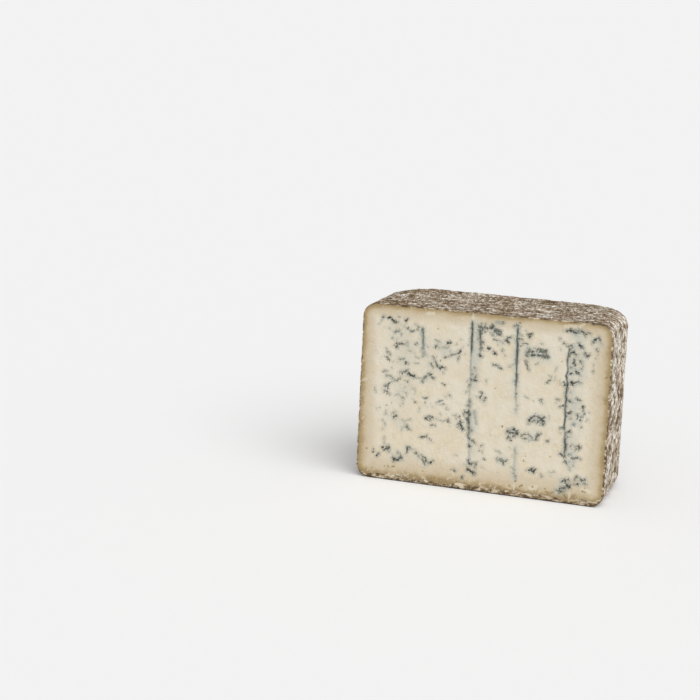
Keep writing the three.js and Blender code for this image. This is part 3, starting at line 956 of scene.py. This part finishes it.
# %% [markdown]
# ## The paste
#
# Blue cheese paste is moist, fatty and a little translucent, so light sinks in and softens
# everything. On top of that comes what the lists above placed: the tan band, darker and drier
# just above the foot, grey-green haze, mould with a dark core and a paler fringe, needle
# tracks, smears and stains. Fine noise frays every edge down to a tenth of a millimetre, which
# no mesh of this size could carry.

# %% Paste colours
paste = Finish("cut_paste")
cloud = paste.grain(26, 2, 3)
curd = paste.grain(5, 4, 7)
clump = paste.grain(2.6, 3, 29)
fleck = paste.grain(1.3, 4, 11)
speck = paste.grain(0.55, 2, 17)

ivory = paste.mix(paste.step(cloud, 0.35, 0.65), seen(227, 218, 198), seen(224, 212, 187))
ivory = paste.mix(paste.step(curd, 0.42, 0.62) * 0.4, ivory, seen(231, 224, 208))
ivory = paste.mix(paste.step(fleck, 0.55, 0.75) * 0.2, ivory, seen(208, 196, 170))
ripe = paste.kept("ripeness") + (paste.grain(8, 4, 23, (0.6, 1, 1)) - 0.5) * 0.55
band_colours = [
    (0.0, seen(152, 130, 92)),
    (0.13, seen(168, 146, 106)),
    (0.26, seen(181, 160, 121)),
    (0.36, seen(196, 177, 142)),
    (0.5, seen(207, 191, 161)),
    (0.7, seen(213, 199, 173)),
    (1.0, seen(217, 204, 180)),
]
tan = paste.node("ShaderNodeValToRGB", {"stops": band_colours}, {"Fac": ripe})
colour = paste.mix(paste.step(ripe, 0.8, 1.4), tan, ivory)
dried = 1 - paste.step(paste.kept("above_foot") + (curd - 0.5) * 14, 2.5, 9.0)
colour = paste.mix(dried * 0.85, colour, seen(154, 132, 94))
hazed = paste.kept("haze") * paste.step(curd + cloud, 0.7, 1.15)
colour = paste.mix(hazed, colour, seen(200, 201, 190))
print("paste nodes so far", len(paste.tree.nodes))

# %% Mould in the paste
gap, tone = paste.kept("mould_gap"), paste.kept("mould_tone")
fray = (fleck - 0.5) * 3.4 + (speck - 0.5) * 2.2
near = paste.step(gap + (clump - 0.5) * 4.0, -0.6, 2.8)
smudge = (1 - near) * tone * paste.step(clump, 0.3, 0.65)
colour = paste.mix(smudge * 0.5, colour, seen(176, 176, 163))
threads = 1 - paste.step(paste.apart(paste.grain(2.0, 3, 37), 0.5), 0.0, 0.05)
veined = (1 - paste.step(gap, 0.0, 2.6)) * tone + hazed * 0.3
colour = paste.mix(threads * veined * 0.75, colour, seen(128, 134, 125))
mould_colours = [
    (0.2, seen(168, 170, 157)),
    (0.5, seen(126, 132, 121)),
    (0.82, seen(82, 89, 82)),
    (1.0, seen(54, 60, 56)),
]
spores = paste.step(paste.grain(0.8, 2, 67), 0.54, 0.61)
spores = spores * (1 - paste.step(gap + fray, 0.2, 1.8))
core = paste.step(fray - gap, -0.3, 0.6)
age = tone + fray * 0.1 + (speck - 0.5) * 0.8
ink = paste.node("ShaderNodeValToRGB", {"stops": mould_colours}, {"Fac": age})
colour = paste.mix(core * paste.step(tone, 0.0, 0.4), colour, ink)
speckled = spores * paste.step(tone, 0.1, 0.8)
colour = paste.mix(speckled * 0.8, colour, seen(56, 63, 59))
beside, opened = paste.kept("track_side"), paste.kept("track_ink")
off_line = paste.apart(beside + (paste.grain(5, 4, 83) - 0.5) * 2.4, 0.0)
bloom = (1 - paste.step(off_line, 0.8, 2.4)) * opened
colour = paste.mix(bloom * 0.4, colour, seen(168, 173, 164))
wall = 1 - paste.step(off_line + fray * 0.35, 0.55, 1.05)
colour = paste.mix(wall * opened * 0.7, colour, seen(112, 119, 112))
line = 1 - paste.step(off_line + fray * 0.45 + (clump - 0.5) * 1.6, 0.0, 0.65)
line = line * paste.step(opened + (clump - 0.5) * 2.0 + fray * 0.2, 0.3, 0.75)
colour = paste.mix(line * 0.9, colour, seen(58, 65, 62))

# %% Crust, cracks, smears and stains
flakes = paste.grain(2.6, 4, 47, (0.5, 1, 1))
crust_tint = paste.mix(paste.step(flakes, 0.40, 0.52), seen(80, 61, 38), seen(150, 128, 96))
crust_tint = paste.mix(paste.step(flakes, 0.52, 0.60), crust_tint, seen(222, 210, 186))
crusted = paste.step(fray * 0.4 - paste.kept("crust_gap"), -0.3, 0.5)
colour = paste.mix(crusted * 0.9, colour, crust_tint)
# Painted shade: the cut's lowest millimetre is darkened for the contact shadow at the table.
painted_contact_shade = 1 - paste.step(paste.kept("above_foot") + (fleck - 0.5) * 1.5, 0.5, 1.2)
colour = paste.mix(painted_contact_shade * 0.85, colour, seen(62, 50, 36))
crack = 1 - paste.step(paste.apart(paste.grain(9.0, 4, 41), 0.5), 0.0, 0.012)
crack = crack * paste.step(paste.grain(15, 2, 43), 0.5, 0.62)
colour = paste.mix(crack * 0.5, colour, seen(186, 160, 118))
smear = paste.step(fray * 0.6 - paste.kept("smear_gap"), -0.25, 0.55)
colour = paste.mix(smear * 0.55, colour, seen(229, 219, 197))
stain = paste.step(fray * 0.4 - paste.kept("ochre_gap"), -0.3, 0.35)
colour = paste.mix(stain * 0.8, colour, seen(146, 119, 60))
wet = 0.5 + (curd - 0.5) * 0.3 + core * 0.25

# %% Paste surface
rough_curd = paste.bump(curd + clump * 0.4 + fleck * 0.35, 0.7)
graze = paste.bump(speck, 0.12, rough_curd)
sunk = paste.bump(1 - core * tone, 0.35, graze)
paste_shader = paste.node(
    "ShaderNodeBsdfPrincipled",
    {"subsurface_method": "RANDOM_WALK"},
    {
        "Base Color": colour,
        "Roughness": wet,
        "Normal": sunk,
        "Subsurface Weight": 0.2,
        "Subsurface Radius": (1.0, 0.75, 0.45),
        "Subsurface Scale": 1.5 * MM,
        "Specular IOR Level": 0.35,
    },
)
paste.node("ShaderNodeOutputMaterial", {}, {"Surface": paste_shader})
print("paste nodes", len(paste.tree.nodes))

# %% [markdown]
# ## The rind
#
# The rind is dry and dull. Under everything lies taupe-brown crust. White and grey mould
# settles on the crests as a powder, in flakes of 1 to 4 mm, and there is a little more of it
# on the sides than on the top, which was turned and brushed. It thins towards the foot, where
# the cheese stood damp. Pits show dark brown, and so do short dashes beside the cut, where the
# knife broke the powder away. One ramp from dark to white over a sum of several noises gives
# all the tones between; two colours and a mask would look like stone.

# %% Rind colours
rind = Finish("mould_rind")
height = rind.kept("relief")
flat_top = rind.kept("matted")
patch = rind.grain(12, 3, 5)
flake = rind.grain(2.2, 6, 9, (1.1, 0.65, 0.7))
grit = rind.grain(1.0, 3, 13, (1.1, 0.75, 0.8))
dust = rind.grain(0.5, 2, 19)

crests = height * 0.3 + flake * 0.85 - (grit - 0.5) * 0.85 + (patch - 0.5) * 0.5
rind_colours = [
    (0.37, seen(90, 72, 52)),
    (0.48, seen(124, 105, 81)),
    (0.58, seen(157, 141, 118)),
    (0.67, seen(203, 193, 179)),
    (0.80, seen(244, 240, 233)),
]
low_down = 1 - rind.step(rind.kept("above_foot"), 10, 110)
powdered = crests - flat_top * 0.04 - low_down * 0.06 + (dust - 0.5) * 0.4
colour = rind.node("ShaderNodeValToRGB", {"stops": rind_colours}, {"Fac": powdered})
warmth = rind.step(rind.grain(24, 2, 71), 0.45, 0.65)
colour = rind.mix(warmth * 0.3, colour, rind.mix(1.0, colour, seen(232, 212, 182), "MULTIPLY"))
dashes = rind.step(rind.grain(2.4, 3, 31, (0.6, 1, 1)), 0.42, 0.52)
dashes = dashes * (1 - rind.step(rind.kept("behind_cut") - flat_top * 1.6, 0.5, 2.2))
colour = rind.mix(dashes * 0.85, colour, seen(74, 56, 36))

# %% Rind surface
crusty = rind.bump(flake - grit * 0.6, 0.8)
powder = rind.bump(dust, 0.15, crusty)
rind_shader = rind.node(
    "ShaderNodeBsdfPrincipled",
    {},
    {
        "Base Color": colour,
        "Roughness": 0.95,
        "Normal": powder,
        "Specular IOR Level": 0.2,
    },
)
rind.node("ShaderNodeOutputMaterial", {}, {"Surface": rind_shader})
print("rind nodes", len(rind.tree.nodes))

# %% [markdown]
# ## Giving the slab its finishes
#
# The rind is the first material and the paste the second. Edges between them are marked
# sharp, so the smooth shading of the one stops at the other.

# %% Materials on the squares
slab_mesh.materials.append(rind.material)
slab_mesh.materials.append(paste.material)
slab_mesh.polygons.foreach_set("material_index", on_cut_square.astype(np.int32))
sharp = [ring[a] and ring[b] for a, b in (edge.vertices for edge in slab_mesh.edges)]
slab_mesh.attributes.new("sharp_edge", "BOOLEAN", "EDGE").data.foreach_set("value", sharp)
slab_mesh.update()
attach(slab, "root")
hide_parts("cheese_wedge")
print("sharp edges", sum(sharp))

# %% [markdown]
# ## The studio
#
# A white table far larger than the slab, a bright even sky and one large soft lamp from the
# right. The wide lamp keeps the shadow soft and lets it fall to the left of the slab.

# %% Table, sky and lamp
TABLE_HALF = 60.0

table_mesh = bpy.data.meshes.new("table")
table_corners = [(-1, -1, 0), (1, -1, 0), (1, 1, 0), (-1, 1, 0)]
table_mesh.from_pydata([Vector(c) * TABLE_HALF for c in table_corners], [], [(0, 1, 2, 3)])
table = bpy.data.objects.new("table", table_mesh)
bpy.context.scene.collection.objects.link(table)

paper = Finish("white_table")
paper_shader = paper.node(
    "ShaderNodeBsdfPrincipled",
    {},
    {"Base Color": (0.89, 0.89, 0.89, 1), "Roughness": 0.9, "Specular IOR Level": 0.0},
)
paper.node("ShaderNodeOutputMaterial", {}, {"Surface": paper_shader})
table_mesh.materials.append(paper.material)

sky = bpy.data.worlds.new("studio_sky")
sky.use_nodes = True
sky.node_tree.nodes["Background"].inputs["Color"].default_value = (1, 1, 1, 1)
sky.node_tree.nodes["Background"].inputs["Strength"].default_value = 0.50
bpy.context.scene.world = sky


def soft_lamp(name, azimuth, elevation, width, power):
    """A wide lamp that shines from a compass direction, all angles in degrees."""
    lamp = bpy.data.lights.new(name, "SUN")
    lamp.angle, lamp.energy = math.radians(width), power
    holder = bpy.data.objects.new(name, lamp)
    turn, rise = math.radians(azimuth), math.radians(elevation)
    flat = math.cos(rise)
    way = Vector((math.sin(turn) * flat, -math.cos(turn) * flat, math.sin(rise)))
    holder.rotation_euler = way.to_track_quat("Z", "Y").to_euler()
    bpy.context.scene.collection.objects.link(holder)


soft_lamp("window", azimuth=50, elevation=50, width=60, power=2.05)
bpy.context.scene.view_settings.view_transform = "Standard"

# %% [markdown]
# ## The camera
#
# The camera stands a little over a metre away, about 14 degrees above the table and 21 degrees
# round to the right, with a long lens. It looks past the slab's left side, so the slab stands
# right of the middle.

# %% Setting up the camera
camera_data = bpy.data.cameras.new("camera")
camera_data.sensor_width, camera_data.lens = 36.0, 80.6
camera_data.clip_start, camera_data.clip_end = 0.05, 200.0
camera = bpy.data.objects.new("camera", camera_data)
look = Vector((-0.3468, 0.9079, -0.2350))
tilt = Matrix.Rotation(math.radians(0.92), 4, "Z")
stand = Matrix.Translation((0.2942, -1.0702, 0.3606))
camera.matrix_world = stand @ look.to_track_quat("-Z", "Y").to_matrix().to_4x4() @ tilt
bpy.context.scene.collection.objects.link(camera)
bpy.context.scene.camera = camera
print("camera", [round(c, 3) for c in camera.matrix_world.translation])
